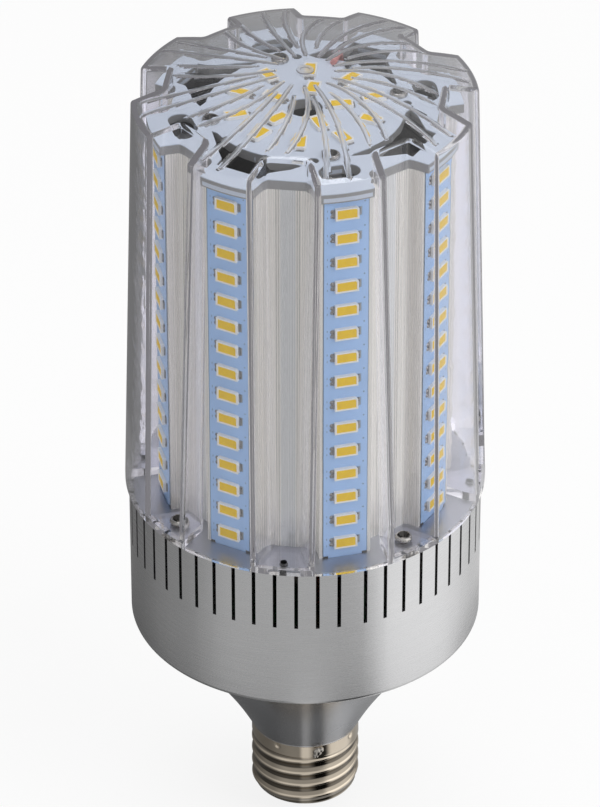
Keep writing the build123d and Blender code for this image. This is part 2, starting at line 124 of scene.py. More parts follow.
class LampColours(bpy.types.PropertyGroup):
    """Colours of the finishes"""

    nickel: colour("Nickel", "Plating of the screw cap", (0.74, 0.65, 0.53))
    neck: colour("Neck", "Metallic paint of the neck", (0.285, 0.29, 0.305))
    cup: colour("Cup", "Brushed aluminium of the driver cup", (0.60, 0.60, 0.605))
    deck: colour("Deck", "Rolled aluminium under the cover", (0.43, 0.445, 0.49))
    sink: colour("Heat sink", "Extruded aluminium", (0.93, 0.905, 0.84))
    strip: colour("Strip board", "Solder mask of the LED strips", (0.39, 0.60, 0.94))
    board: colour("Top board", "Solder mask of the top board", (0.66, 0.73, 0.84))
    package: colour("Package", "White body of an LED", (0.92, 0.91, 0.88))
    phosphor: colour("Phosphor", "Yellow window of an LED", (1.0, 0.62, 0.01))
    cover: colour("Cover", "Tint of the clear plastic", (0.93, 0.93, 0.95))
    floor: colour("Floor", "Pale studio floor", (0.80, 0.80, 0.80))


# Finishes


def math_node(operation, reflected=False):
    """A way to write one kind of Math node, also with the value on the right of the sign."""

    def written(value, *others):
        terms = (*others, value) if reflected else (value, *others)
        return value.finish.node("ShaderNodeMath", {"operation": operation}, dict(enumerate(terms)))

    return written


class Value:
    """A socket that gives a value, so that sums written with it become Math nodes."""

    def __init__(self, finish, socket):
        self.finish = finish
        self.socket = socket

    __add__ = math_node("ADD")
    __radd__ = math_node("ADD", reflected=True)
    __sub__ = math_node("SUBTRACT")
    __rsub__ = math_node("SUBTRACT", reflected=True)
    __mul__ = math_node("MULTIPLY")
    __rmul__ = math_node("MULTIPLY", reflected=True)
    __truediv__ = math_node("DIVIDE")
    __abs__ = math_node("ABSOLUTE")
    __lt__ = math_node("LESS_THAN")
    __gt__ = math_node("GREATER_THAN")
    sine = math_node("SINE")
    cosine = math_node("COSINE")
    root = math_node("SQRT")
    rounded = math_node("ROUND")
    turn_from = math_node("ARCTAN2")
    either = math_node("MAXIMUM")


class Finish:
    """A node tree under construction, with the object's own coordinates at hand."""

    def __init__(self, tree, material=None):
        self.tree = tree
        self.material = material
        tree.nodes.clear()

    def node(self, kind, settings=None, inputs=None, output=0):
        """Add a node, set it up, feed its sockets and give one of its outputs."""
        made = self.tree.nodes.new(kind)
        for name, setting in (settings or {}).items():
            setattr(made, name, setting)
        for name, fed in (inputs or {}).items():
            if isinstance(fed, Value):
                self.tree.links.new(fed.socket, made.inputs[name])
            else:
                made.inputs[name].default_value = fed
        return Value(self, made.outputs[output])

    def place(self):
        """The object's own coordinates: the point, and its X, Y and Z."""
        point = self.node("ShaderNodeTexCoord", output="Object")
        axes = [self.node("ShaderNodeSeparateXYZ", None, {0: point}, axis) for axis in "XYZ"]
        return [point] + axes

    def noise(self, scale, detail=2.0, vector=None):
        """Even noise between 0 and 1 at a scale per metre."""
        vector = vector or self.node("ShaderNodeTexCoord", output="Object")
        inputs = {"Vector": vector, "Scale": scale, "Detail": detail, "Roughness": 0.55}
        return self.node("ShaderNodeTexNoise", None, inputs, "Fac")

    def vector(self, x, y, z):
        """A vector from three values."""
        return self.node("ShaderNodeCombineXYZ", None, {"X": x, "Y": y, "Z": z})

    def ease(self, value, low, high, to_low=0.0, to_high=1.0):
        """Smooth step of a value from one range to another."""
        inputs = {"Value": value, 1: low, 2: high, 3: to_low, 4: to_high}
        return self.node("ShaderNodeMapRange", {"interpolation_type": "SMOOTHSTEP"}, inputs)

    def blend(self, factor, first, second):
        """Mix of two colours."""
        pair = [shade if isinstance(shade, Value) else (*shade[:3], 1.0) for shade in (first, second)]
        inputs = {0: factor, 6: pair[0], 7: pair[1]}
        return self.node("ShaderNodeMix", {"data_type": "RGBA"}, inputs, 2)

    def bump(self, height, strength, distance):
        """Normal that is tilted by a height."""
        inputs = {"Strength": strength, "Distance": distance, "Height": height}
        return self.node("ShaderNodeBump", None, inputs)

    def surface(self, **sockets):
        """The main shader, with its sockets named in words."""
        inputs = {}
        for name, fed in sockets.items():
            socket = name.replace("_", " ").title().replace("Ior", "IOR")
            plain = socket.endswith("Color") and not isinstance(fed, Value)
            inputs[socket] = (*fed[:3], 1.0) if plain else fed
        return self.node("ShaderNodeBsdfPrincipled", None, inputs)

    def ray(self, kind):
        """1 for rays of one kind."""
        return self.node("ShaderNodeLightPath", output=kind)

    def show(self, shader, kind="ShaderNodeOutputMaterial"):
        """Send a shader to the output and give the material."""
        output = self.tree.nodes.new(kind)
        self.tree.links.new(shader.socket, output.inputs["Surface"])
        return self.material

    def show_surface(self, **sockets):
        """Send the main shader alone to the output and give the material."""
        return self.show(self.surface(**sockets))


def new_finish(name):
    """An empty material's node tree to build a finish in."""
    material = bpy.data.materials.new(name)
    material.use_nodes = True
    return Finish(material.node_tree, material)


def background_rays(finish):
    """1 for rays that see the white background: from the camera, off metal and through glass."""
    seen = finish.ray("Is Camera Ray")
    for way in ("Is Glossy Ray", "Is Transmission Ray"):
        seen = seen.either(finish.ray(way))
    return seen


def tint(shade, share):
    """A darker or lighter shade of a colour."""
    return [c * share for c in shade]


def lighter(shade, share):
    """A lighter shade of a colour, up to full brightness."""
    return [min(1.0, c * share) for c in shade]


def polar(finish):
    """Turn about the axis, distance from it and height."""
    point, x, y, z = finish.place()
    return y.turn_from(x), (x * x + y * y).root(), z


def lobe_grid(finish, offset):
    """Sideways and outward distance in the nearest of eight directions, and height."""
    point, x, y, z = finish.place()
    step = ((y.turn_from(x) - offset) / LOBE_STEP).rounded() * LOBE_STEP + offset
    side, out = step.sine(), step.cosine()
    return y * out - x * side, x * out + y * side, z


def dome_sphere():
    """Radius of the clear dome's ball and the height of its middle."""
    edge = cover_high.x - COVER_DRAFT
    sphere = (edge**2 + DOME_RISE**2) / (2 * DOME_RISE)
    return sphere, cover_low.z + DOME_FOOT + DOME_RISE - sphere


def nickel_finish(colours, pitch, first_crest):
    """Nickel plating with random tarnish, painted shade over the thread, under its crests and in its roots,
    and painted highlights on its crests.
    """
    finish = new_finish("nickel")
    turn, radius, height = polar(finish)
    tarnish = finish.noise(260.0, 4.0)
    streaks = finish.noise(1.0, 3.0, finish.vector(turn * 3.0, height * 2600.0, radius * 300.0))
    phase = (height - first_crest) * (2 * pi / pitch) - turn
    # Masks for painted light on the thread: the thread itself, a highlight just above each crest, shade
    # under each crest and in each root.
    thread = 1 - finish.ease(height, -3.9 * MM, -3.0 * MM)
    crest = finish.ease((phase - 0.5).cosine(), 0.80, 0.97) * thread
    under = finish.ease((phase + 1.0).cosine(), 0.70, 0.95) * thread
    root = finish.ease(phase.cosine() * -1, 0.55, 0.90) * thread
    shade = finish.blend(tarnish, tint(colours.nickel, 0.8), colours.nickel)
    # Painted shade over the thread, under its crests and in its roots, then painted highlights on the
    # crests.
    shade = finish.blend(thread * 0.75, shade, tint(colours.nickel, 0.42))
    shade = finish.blend(under, shade, tint(colours.nickel, 0.30))
    shade = finish.blend(root, shade, tint(colours.nickel, 0.24))
    shade = finish.blend(crest * 0.75, shade, lighter(colours.nickel, 1.25))
    return finish.show_surface(
        base_color=shade,
        metallic=1.0,
        roughness=finish.ease(streaks, 0.3, 0.8, 0.05, 0.12),
        normal=finish.bump(streaks, 0.06, 0.05 * MM),
    )


def solder_finish():
    """Dull tin with a frosted skin."""
    finish = new_finish("solder")
    skin = finish.noise(1400.0, 4.0)
    return finish.show_surface(
        base_color=finish.blend(skin, (0.24, 0.235, 0.23), (0.46, 0.45, 0.44)),
        metallic=1.0,
        roughness=finish.ease(skin, 0.3, 0.7, 0.22, 0.42),
        normal=finish.bump(skin, 0.3, 0.1 * MM),
    )


def neck_finish(colours):
    """Satin metallic paint with a painted highlight along its lower edge."""
    finish = new_finish("neck_paint")
    turn, radius, height = polar(finish)
    flake = finish.noise(5200.0, 1.0)
    cloud = finish.noise(45.0, 3.0)
    # Painted highlight: a bright line along the neck's lower edge.
    edge_highlight = 1 - finish.ease(height, 0.25 * MM, 0.7 * MM)
    shade = finish.blend(cloud, tint(colours.neck, 0.85), tint(colours.neck, 1.1))
    shade = finish.blend(finish.ease(flake, 0.62, 0.78, 0.0, 0.35), shade, tint(colours.neck, 1.7))
    shade = finish.blend(edge_highlight, shade, (0.62, 0.62, 0.64))
    return finish.show_surface(
        base_color=shade,
        metallic=0.9,
        roughness=finish.ease(cloud, 0.3, 0.7, 0.20, 0.28),
        normal=finish.bump(flake, 0.05, 0.03 * MM),
    )


def cup_finish(colours):
    """Aluminium brushed round the cup, cloudy, with a painted highlight along its lower edge."""
    finish = new_finish("brushed_aluminium")
    turn, radius, height = polar(finish)
    brush = finish.noise(1.0, 4.0, finish.vector(turn * 9.0, height * 9000.0, radius * 200.0))
    bands = finish.noise(1.0, 2.0, finish.vector(turn * 1.5, height * 900.0, 0.0))
    cloud = finish.noise(38.0, 3.0)
    shade = finish.blend(brush, tint(colours.cup, 0.82), tint(colours.cup, 1.08))
    shade = finish.blend(finish.ease(cloud, 0.35, 0.75, 0.0, 0.25), shade, tint(colours.cup, 0.85))
    # Painted highlight: a bright line along the cup's lower edge.
    edge_highlight = 1 - finish.ease(height, cup_low.z + 0.25 * MM, cup_low.z + 0.6 * MM)
    shade = finish.blend(edge_highlight * 0.7, shade, (0.88, 0.88, 0.88))
    return finish.show_surface(
        base_color=shade,
        metallic=1.0,
        roughness=finish.ease(brush + bands * 0.4, 0.4, 1.0, 0.22, 0.34),
        normal=finish.bump(brush, 0.16, 0.05 * MM),
    )


def deck_finish(colours):
    """Rolled aluminium with faint turning marks and a painted near-black spot, as the shade of a hole,
    under every index hole.
    """
    finish = new_finish("bright_aluminium")
    turn, radius, height = polar(finish)
    rings = finish.noise(1.0, 3.0, finish.vector(radius * 5200.0, turn * 2.0, 0.0))
    cloud = finish.noise(120.0, 3.0)
    shade = finish.blend(cloud, tint(colours.deck, 0.9), colours.deck)
    # Painted shade: a near-black spot on the deck under every index hole, as the shade of a hole.
    step = ((turn - INDEX_TURN) / (pi / 2)).rounded() * (pi / 2) + INDEX_TURN
    spot = radius * radius - radius * (turn - step).cosine() * (2 * INDEX_CIRCLE) + INDEX_CIRCLE**2
    shade = finish.blend(spot.root() < 1.0 * MM, shade, (0.01, 0.01, 0.012))
    return finish.show_surface(
        base_color=shade,
        metallic=1.0,
        roughness=finish.ease(rings, 0.3, 0.7, 0.30, 0.40),
        normal=finish.bump(rings, 0.03, 0.03 * MM),
    )


def sink_finish(colours):
    """Extruded aluminium with die lines along its length, a faint painted dark reflection along each side
    of a groove, and painted shade in the hollow core, which is also dull.
    """
    finish = new_finish("extruded_aluminium")
    across, out, height = lobe_grid(finish, LOBE_STEP / 2)
    lobe_out = lobe_grid(finish, 0.0)[1]
    side = abs(across)
    floor_out = 30.2 * MM
    floor_half = 6.4 * MM
    wall_slope = 0.416
    land_out = 32.9 * MM
    groove = (out > floor_out - 0.5 * MM) * (side < (out - floor_out) * wall_slope + floor_half)
    # Painted shade: the hollow core is near black, dull and less metallic.
    core = 1 - groove.either(lobe_out > land_out)
    fine = finish.noise(1.0, 4.0, finish.vector(across * 4200.0, out * 4200.0, height * 6.0))
    wide = finish.noise(1.0, 2.0, finish.vector(across * 700.0, out * 700.0, height * 2.0))
    lines = 0.0
    for place, width in ((2.1, 0.08), (2.65, 0.09), (4.6, 0.05)):
        gap = abs(side - place * MM)
        lines = (1 - finish.ease(gap, width * 0.5 * MM, width * 1.6 * MM)) + lines
    middle = 1 - finish.ease(side, 1.5 * MM, 2.0 * MM)
    # Painted dark reflection: a faint dark band on each side of a groove.
    band = finish.ease(side, 5.6 * MM, 6.3 * MM) * (1 - finish.ease(side, 7.2 * MM, 7.9 * MM))
    shade = finish.blend(fine, tint(colours.sink, 0.96), tint(colours.sink, 1.02))
    shade = finish.blend(finish.ease(wide, 0.4, 0.8, 0.0, 0.15), shade, tint(colours.sink, 0.82))
    shade = finish.blend(middle * 0.8, shade, (0.72, 0.74, 0.74))
    shade = finish.blend(band * 0.25, shade, tint(colours.sink, 0.5))
    shade = finish.blend(lines * 0.6, shade, tint(colours.sink, 0.25))
    # Painted shade in the hollow core.
    shade = finish.blend(core, shade, (0.045, 0.045, 0.048))
    return finish.show_surface(
        base_color=shade,
        metallic=0.35 - core * 0.25,
        roughness=finish.ease(fine, 0.25, 0.8, 0.25, 0.30) + core * 0.3,
        normal=finish.bump(fine * 0.1 + wide * 0.3 - lines, 0.05, 0.08 * MM),
    )


def strip_finish(colours, first_row, pitch):
    """Blue solder mask with bare pads at every package, tick marks and an aluminium core."""
    finish = new_finish("strip_board")
    across, out, height = lobe_grid(finish, 0.0)
    row = height - first_row
    row = row - (row / pitch).rounded() * pitch
    side = abs(across)
    cloud = finish.noise(90.0, 3.0)
    grain = finish.noise(3800.0, 2.0)
    pad = (abs(side - 3.05 * MM) < 0.4 * MM) * (abs(row) < 1.0 * MM)
    outline = (abs(side - 3.1 * MM) < 0.5 * MM) * (abs(row) < 1.15 * MM)
    tick = (abs(across + 4.35 * MM) < 0.1 * MM) * (abs(abs(row) - 0.9 * MM) < 0.28 * MM)
    dot_across, dot_up = across - 4.2 * MM, row - 2.4 * MM
    dot = (dot_across * dot_across + dot_up * dot_up).root() < 0.22 * MM
    face = out > 34.45 * MM
    # Painted shadow: a dark line along both side edges of a strip.
    edge = finish.ease(side, 5.05 * MM, 5.15 * MM) * 0.8
    shade = finish.blend(cloud, tint(colours.strip, 0.88), tint(colours.strip, 1.12))
    shade = finish.blend(edge, shade, tint(colours.strip, 0.25))
    shade = finish.blend((tick.either(dot)) * 0.55, shade, (0.10, 0.11, 0.14))
    shade = finish.blend(outline * 0.45, shade, tint(colours.strip, 0.45))
    shade = finish.blend(pad, shade, (0.45, 0.45, 0.45))
    core = finish.blend(grain, (0.36, 0.36, 0.37), (0.50, 0.50, 0.51))
    return finish.show_surface(
        base_color=finish.blend(face, core, shade),
        metallic=pad.either(1 - face) * 0.9,
        roughness=finish.ease(grain, 0.3, 0.7, 0.30, 0.40),
        normal=finish.bump(grain * 0.3 + pad * 2.0, 0.12, 0.05 * MM),
        coat_weight=0.25,
    )


def board_finish(colours):
    """Pale solder mask on the board and the plate under it, with bare grey edges, and grey below the
    plate's pale upper edge as painted shadow.
    """
    finish = new_finish("top_board")
    across, out, height = lobe_grid(finish, LOBE_STEP / 2)
    cloud = finish.noise(70.0, 3.0)
    grain = finish.noise(3600.0, 2.0)
    face = height > board_high.z - 0.1 * MM
    # Grey where edges are bare; the grey below the plate's pale upper edge is painted shadow.
    bare = (abs(height - (board_low.z + 0.6 * MM)) < 0.45 * MM).either(height < board_low.z - 0.9 * MM)
    bare = bare.either((height < board_low.z + 0.6 * MM) * (abs(across) < 8.5 * MM))
    light = lighter(colours.board, 1.05)
    shade = finish.blend(cloud, tint(colours.board, 0.93), light)
    layer = finish.blend(bare, tint(colours.board, 0.9), (0.30, 0.30, 0.30))
    return finish.show_surface(
        base_color=finish.blend(face, layer, shade),
        roughness=finish.ease(grain, 0.3, 0.7, 0.42, 0.52),
        normal=finish.bump(grain, 0.05, 0.04 * MM),
        coat_weight=0.08,
    )


def package_finish(colours):
    """White moulded resin with a little dust in it."""
    finish = new_finish("led_package")
    grain = finish.noise(2600.0, 3.0)
    return finish.show_surface(
        base_color=finish.blend(grain, tint(colours.package, 0.93), colours.package),
        roughness=finish.ease(grain, 0.3, 0.7, 0.38, 0.5),
        normal=finish.bump(grain, 0.06, 0.03 * MM),
    )


def phosphor_finish(colours):
    """Yellow silicone fill, cloudy, with darker and paler patches at random."""
    finish = new_finish("phosphor")
    cloud = finish.noise(700.0, 3.0)
    fine = finish.noise(5000.0, 2.0)
    light = lighter(colours.phosphor, 1.1)
    shade = finish.blend(cloud, tint(colours.phosphor, 0.86), light)
    return finish.show_surface(
        base_color=shade,
        roughness=finish.ease(fine, 0.3, 0.7, 0.40, 0.55),
        normal=finish.bump(fine, 0.08, 0.03 * MM),
        specular_ior_level=0.2,
    )


def steel_finish():
    """Zinc-plated steel with scuffs from the driver."""
    finish = new_finish("plated_steel")
    scuff = finish.noise(900.0, 4.0)
    fine = finish.noise(6000.0, 2.0)
    return finish.show_surface(
        base_color=finish.blend(scuff, (0.34, 0.32, 0.30), (0.56, 0.55, 0.53)),
        metallic=1.0,
        roughness=finish.ease(scuff, 0.3, 0.75, 0.16, 0.36),
        normal=finish.bump(fine, 0.06, 0.03 * MM),
    )


def clear_finish(colours):
    """Clear polycarbonate, rippled by the mould and dull on the ribs, with a faint painted glow on rays
    more than five bounces deep; it lets lamp light through.
    """
    finish = new_finish("clear_plastic")
    point, x, y, z = finish.place()
    ripple = finish.noise(95.0, 2.0)
    speck = finish.noise(1500.0, 2.0)
    sphere, center = dome_sphere()
    rise = z - center
    raised = (x * x + y * y + rise * rise).root() > sphere + 0.05 * MM
    gate = raised * (x * x + y * y < 4.2 * MM * MM)
    # Painted glow: a faint grey-lavender emission on rays more than five bounces deep.
    depth = finish.ray("Ray Depth")
    body = finish.surface(
        base_color=finish.blend(ripple, tint(colours.cover, 0.985), colours.cover),
        transmission_weight=1.0,
        ior=1.58,
        roughness=finish.ease(speck, 0.55, 0.8, 0.015, 0.06) + raised * 0.26,
        normal=finish.bump(ripple + gate * speck * 0.9, 0.05, 1.0 * MM),
        emission_color=finish.blend(depth > 5.5, (0.0, 0.0, 0.0), (0.19, 0.185, 0.20)),
        emission_strength=1.0,
    )
    shadow = finish.ray("Is Shadow Ray")
    bounced = finish.ray("Is Diffuse Ray")
    through = finish.node("ShaderNodeBsdfTransparent", None, {"Color": (0.94, 0.94, 0.95, 1.0)})
    open_way = shadow.either(bounced)
    return finish.show(finish.node("ShaderNodeMixShader", None, {0: open_way, 1: body, 2: through}))


def moulded_finish(name, dark, light, roughness):
    """Moulded or coated material with a fine grain."""
    finish = new_finish(name)
    cloud = finish.noise(160.0, 3.0)
    grain = finish.noise(3200.0, 2.0)
    return finish.show_surface(
        base_color=finish.blend(cloud, dark, light),
        roughness=finish.ease(grain, 0.3, 0.7, roughness * 0.85, roughness * 1.15),
        normal=finish.bump(grain, 0.08, 0.04 * MM),
    )


def metal_finish(name, dark, light, roughness):
    """Bare metal with faint clouds and grain."""
    finish = new_finish(name)
    cloud = finish.noise(220.0, 4.0)
    grain = finish.noise(4200.0, 2.0)
    return finish.show_surface(
        base_color=finish.blend(cloud, dark, light),
        metallic=1.0,
        roughness=finish.ease(grain, 0.3, 0.7, roughness * 0.8, roughness * 1.2),
        normal=finish.bump(grain, 0.06, 0.03 * MM),
    )


def coat(material, *names):
    """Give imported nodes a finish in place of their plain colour."""
    for name in names:
        slots = packed[name].material_slots
        if not slots:
            raise RuntimeError(f"{name} has no material slot")
        for slot in slots:
            slot.material = material


# Modelling by hand


def clear_selection():
    """Leave edit mode and deselect everything."""
    if bpy.context.object and bpy.context.object.mode != "OBJECT":
        bpy.ops.object.mode_set(mode="OBJECT")
    bpy.ops.object.select_all(action="DESELECT")


def pick(piece):
    """Select one piece alone and make it the active one."""
    clear_selection()
    piece.select_set(True)
    bpy.context.view_layer.objects.active = piece


def label(piece, name):
    """Name a piece and its mesh."""
    piece.name = name
    piece.data.name = name
    return piece


def begin(name, primitive, **sizes):
    """Add one primitive by itself, name it and open it for editing."""
    clear_selection()
    primitive(**sizes)
    piece = label(bpy.context.object, name)
    bpy.ops.object.mode_set(mode="EDIT")
    bpy.ops.mesh.select_mode(type="VERT")
    return piece


def choose(piece, kind, test):
    """Select only the vertices, edges or faces that pass a test, and say how many."""
    bpy.ops.mesh.select_mode(type=kind)
    bpy.ops.mesh.select_all(action="DESELECT")
    mesh = bmesh.from_edit_mesh(piece.data)
    parts = {"VERT": mesh.verts, "EDGE": mesh.edges, "FACE": mesh.faces}[kind]
    chosen = [part for part in parts if test(part)]
    for part in chosen:
        part.select_set(True)
    mesh.select_flush_mode()
    bmesh.update_edit_mesh(piece.data)
    if not chosen:
        raise RuntimeError(f"nothing to select on {piece.name}")
    return len(chosen)


def paint(piece, index):
    """Put the selected faces on one of the piece's materials."""
    mesh = bmesh.from_edit_mesh(piece.data)
    for face in mesh.faces:
        if face.select:
            face.material_index = index
    bmesh.update_edit_mesh(piece.data)


def close_up(piece, angle, merge=0.001):
    """Merge doubles, turn the faces outwards and shade the piece smooth up to an angle."""
    bpy.ops.mesh.select_all(action="SELECT")
    bpy.ops.mesh.remove_doubles(threshold=merge * MM)
    bpy.ops.mesh.normals_make_consistent(inside=False)
    bpy.ops.object.mode_set(mode="OBJECT")
    bpy.ops.object.shade_smooth_by_angle(angle=radians(angle))
    return piece


def settle(piece):
    """Put a piece's place, turn and size into its mesh."""
    pick(piece)
    bpy.ops.object.transform_apply(location=True, rotation=True, scale=True)
    return piece


def set_down(piece, place, turn=0.0):
    """Leave edit mode, move a piece to its place, turned about Z, and put that into its mesh."""
    bpy.ops.object.mode_set(mode="OBJECT")
    piece.location = place
    piece.rotation_euler.z = turn
    return settle(piece)


def copy_of(piece, name, place):
    """A copy with its own mesh, moved to a place that is then put into the mesh."""
    pick(piece)
    bpy.ops.object.duplicate()
    made = label(bpy.context.object, name)
    made.matrix_world = place
    return settle(made)


def join(pieces, name):
    """Join pieces into one."""
    clear_selection()
    for piece in pieces:
        piece.select_set(True)
    bpy.context.view_layer.objects.active = pieces[0]
    if len(pieces) > 1:
        bpy.ops.object.join()
    return label(bpy.context.object, name)


def remove(piece):
    """Delete a pattern piece that was only copied from."""
    clear_selection()
    piece.select_set(True)
    bpy.ops.object.delete()


def cut(piece, tool, operation):
    """Apply a Boolean with a tool piece and remove the tool."""
    pick(piece)
    modifier = piece.modifiers.new("Cut", "BOOLEAN")
    modifier.operation = operation
    modifier.solver = "EXACT"
    modifier.object = tool
    bpy.ops.object.modifier_apply(modifier=modifier.name)
    remove(tool)
    return piece


def lathe(name, outline, steps):
    """Turn a closed outline, given as radius and height, round the lamp's axis."""
    piece = begin(name, bpy.ops.mesh.primitive_plane_add, size=MM)
    bpy.ops.mesh.merge(type="CENTER")
    last = (0.0, 0.0)
    for index, (radius, height) in enumerate(outline):
        move = (radius - last[0], 0, height - last[1])
        if index:
            bpy.ops.mesh.extrude_vertices_move(TRANSFORM_OT_translate={"value": move})
        else:
            bpy.ops.transform.translate(value=move)
        last = (radius, height)
    ends = [Vector((outline[i][0], 0, outline[i][1])) for i in (0, -1)]
    choose(piece, "VERT", lambda v: min((v.co - end).length for end in ends) < 1e-7)
    bpy.ops.mesh.edge_face_add()
    bpy.ops.mesh.select_all(action="SELECT")
    bpy.ops.mesh.spin(steps=steps, angle=2 * pi, center=(0, 0, 0), axis=(0, 0, 1))
    return piece


def loft(name, rings, capped=True):
    """Extrude a ring of points through a list of rings, and close the two ends."""
    count = len(rings[0])
    piece = begin(name, bpy.ops.mesh.primitive_circle_add, vertices=count, radius=1.0)
    bpy.ops.mesh.select_mode(type="EDGE")
    last = None
    for ring in rings:
        if last:
            bpy.ops.mesh.extrude_edges_move()
        mesh = bmesh.from_edit_mesh(piece.data)
        mesh.verts.ensure_lookup_table()
        fresh = mesh.verts[-count:]
        if last:
            order = {tuple(point): index for index, point in enumerate(last)}
            turns = [order[tuple(vertex.co)] for vertex in fresh]
        else:
            turns = range(count)
        for vertex, turn in zip(fresh, turns):
            vertex.co = ring[turn]
        last = [None] * count
        for vertex, turn in zip(fresh, turns):
            last[turn] = tuple(vertex.co)
        bmesh.update_edit_mesh(piece.data)
        if capped and ring in (rings[0], rings[-1]):
            bpy.ops.mesh.edge_face_add()
            choose(piece, "EDGE", lambda e: all(v in set(fresh) for v in e.verts))
    return piece


def hand_over(piece, materials, slot, *replaced):
    """Give a finished piece its finishes, its body and what it stands for."""
    if not piece.data.materials:
        for material in materials:
            piece.data.materials.append(material)
    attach(piece, "root")
    if replaced:
        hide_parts(*replaced)


def on_circle(radius, turn, height):
    """Point at a radius and a turn from +X."""
    return Vector((radius * cos(turn), radius * sin(turn), height))


# Pieces


class LAMP_OT_cap(bpy.types.Operator):
    """Model the threaded cap with its dimples and solder, and finish its insulator and contact"""

    bl_idname = "lamp.cap"
    bl_label = "Screw Cap"

    def execute(self, context):
        sizes = context.scene.lamp_sizes
        colours = context.scene.lamp_colours
        count = 240
        crest = cap_high.x
        foot = cap_low.z
        lip = 10.5 * MM
        curl = 1.3 * MM
        first_crest = -3.59 * MM
        band = crest - 0.05 * MM

        def radius_at(turn, height):
            wave = 0.5 + 0.5 * cos(2 * pi * (height - first_crest) / sizes.thread_pitch - turn)
            start = min(1, max(0, (-height - sizes.cap_band) / MM))
            stop = min(1, max(0, (height - foot - curl * 0.4) / (1.5 * MM)))
            thread = crest - sizes.thread_depth * (1 - wave) ** 0.8
            upper = band + (thread - band) * start
            return upper + (crest - sizes.thread_depth * 0.9 - upper) * (1 - stop)

        rings = []
        turns = [2 * pi * k / count for k in range(count)]
        steps = 76
        low = foot + curl
        for index in range(steps + 1):
            height = low * index / steps
            rings.append([on_circle(radius_at(turn, height), turn, height) for turn in turns])
        for index in range(1, 7):
            bend = pi / 2 * index / 6
            height = low - curl * sin(bend)
            shy = curl * (1 - cos(bend))
            rings.append([on_circle(radius_at(turn, low) - shy, turn, height) for turn in turns])
        inside = (
            (lip, foot),
            (lip, foot + 0.35 * MM),
            (11.6 * MM, foot + 0.35 * MM),
            (11.9 * MM, foot + 0.8 * MM),
            (11.9 * MM, -4.4 * MM),
            (12.73 * MM, -4.25 * MM),
            (12.73 * MM, 0),
        )
        for radius, height in inside:
            rings.append([on_circle(radius, turn, height) for turn in turns])
        rings.append(rings[0])
        piece = loft("screw_shell_threaded", rings, capped=False)
        bpy.ops.mesh.select_all(action="SELECT")
        bpy.ops.mesh.remove_doubles(threshold=0.001 * MM)
        for turn in (-136.0, -48.3, 44.0, 132.0):
            spot = on_circle(band, radians(turn), -1.0 * MM)
            mesh = bmesh.from_edit_mesh(piece.data)
            nearest = min((v.co - spot).length for v in mesh.verts)
            choose(piece, "VERT", lambda v: (v.co - spot).length <= nearest + 1e-9)
            push = on_circle(-sizes.dimple_depth, radians(turn), 0)
            bpy.ops.transform.translate(
                value=push,
                use_proportional_edit=True,
                use_proportional_connected=True,
                proportional_edit_falloff="SMOOTH",
                proportional_size=0.85 * MM,
            )
        close_up(piece, 50)
        nickel = nickel_finish(colours, sizes.thread_pitch, first_crest)
        hand_over(piece, [nickel], "nickel", "screw_shell")

        blob = None
        lumps = ((0.0, 0.15, 1.2), (0.85, 0.7, 0.75), (-0.45, -0.85, 0.8))
        for across, rise, size in lumps:
            ball = bpy.ops.mesh.primitive_uv_sphere_add
            lump = begin("solder_lump", ball, segments=16, ring_count=10, radius=MM)
            bpy.ops.transform.resize(value=(size, 0.55 + size * 0.25, size))
            bpy.ops.transform.translate(value=(across * MM, 0, rise * MM))
            bpy.ops.object.mode_set(mode="OBJECT")
            blob = cut(blob, lump, "UNION") if blob else join([lump], "cap_solder")
        turn = radians(-92.0)
        set_down(blob, on_circle(band, turn, -1.67 * MM), turn + pi / 2)
        bpy.ops.object.mode_set(mode="EDIT")
        close_up(blob, 60)
        flux = metal_finish("flux_solder", (0.22, 0.20, 0.18), (0.62, 0.59, 0.54), 0.14)
        hand_over(blob, [flux], "tin")
        outline = [(1.95, -16.65), (11.5, -16.65), (11.5, -18.1), (10.45, -18.12), (10.45, -18.5)]
        outline += [(10.1, -18.8), (9.0, -19.3), (7.7, -20.1), (6.6, -21.1), (6.3, -21.4), (5.8, -21.5)]
        outline += [(1.95, -21.5)]
        glass = lathe("glass_insulator", [(radius * MM, height * MM) for radius, height in outline], 72)
        close_up(glass, 40)
        black = moulded_finish("black_insulator", (0.012, 0.012, 0.013), (0.03, 0.03, 0.032), 0.3)
        hand_over(glass, [black], "black_insulator", "base_insulator")
        coat(metal_finish("contact_tin", (0.45, 0.44, 0.42), (0.66, 0.65, 0.62), 0.3), "center_contact")
        return {"FINISHED"}


class LAMP_OT_housing(bpy.types.Operator):
    """Finish the neck, the driver cup, the deck and the heat sink"""

    bl_idname = "lamp.housing"
    bl_label = "Housing"

    def execute(self, context):
        colours = context.scene.lamp_colours
        coat(neck_finish(colours), "neck")
        coat(cup_finish(colours), "housing_cup")
        coat(deck_finish(colours), "deck_plate")
        coat(sink_finish(colours), "heat_sink")
        return {"FINISHED"}


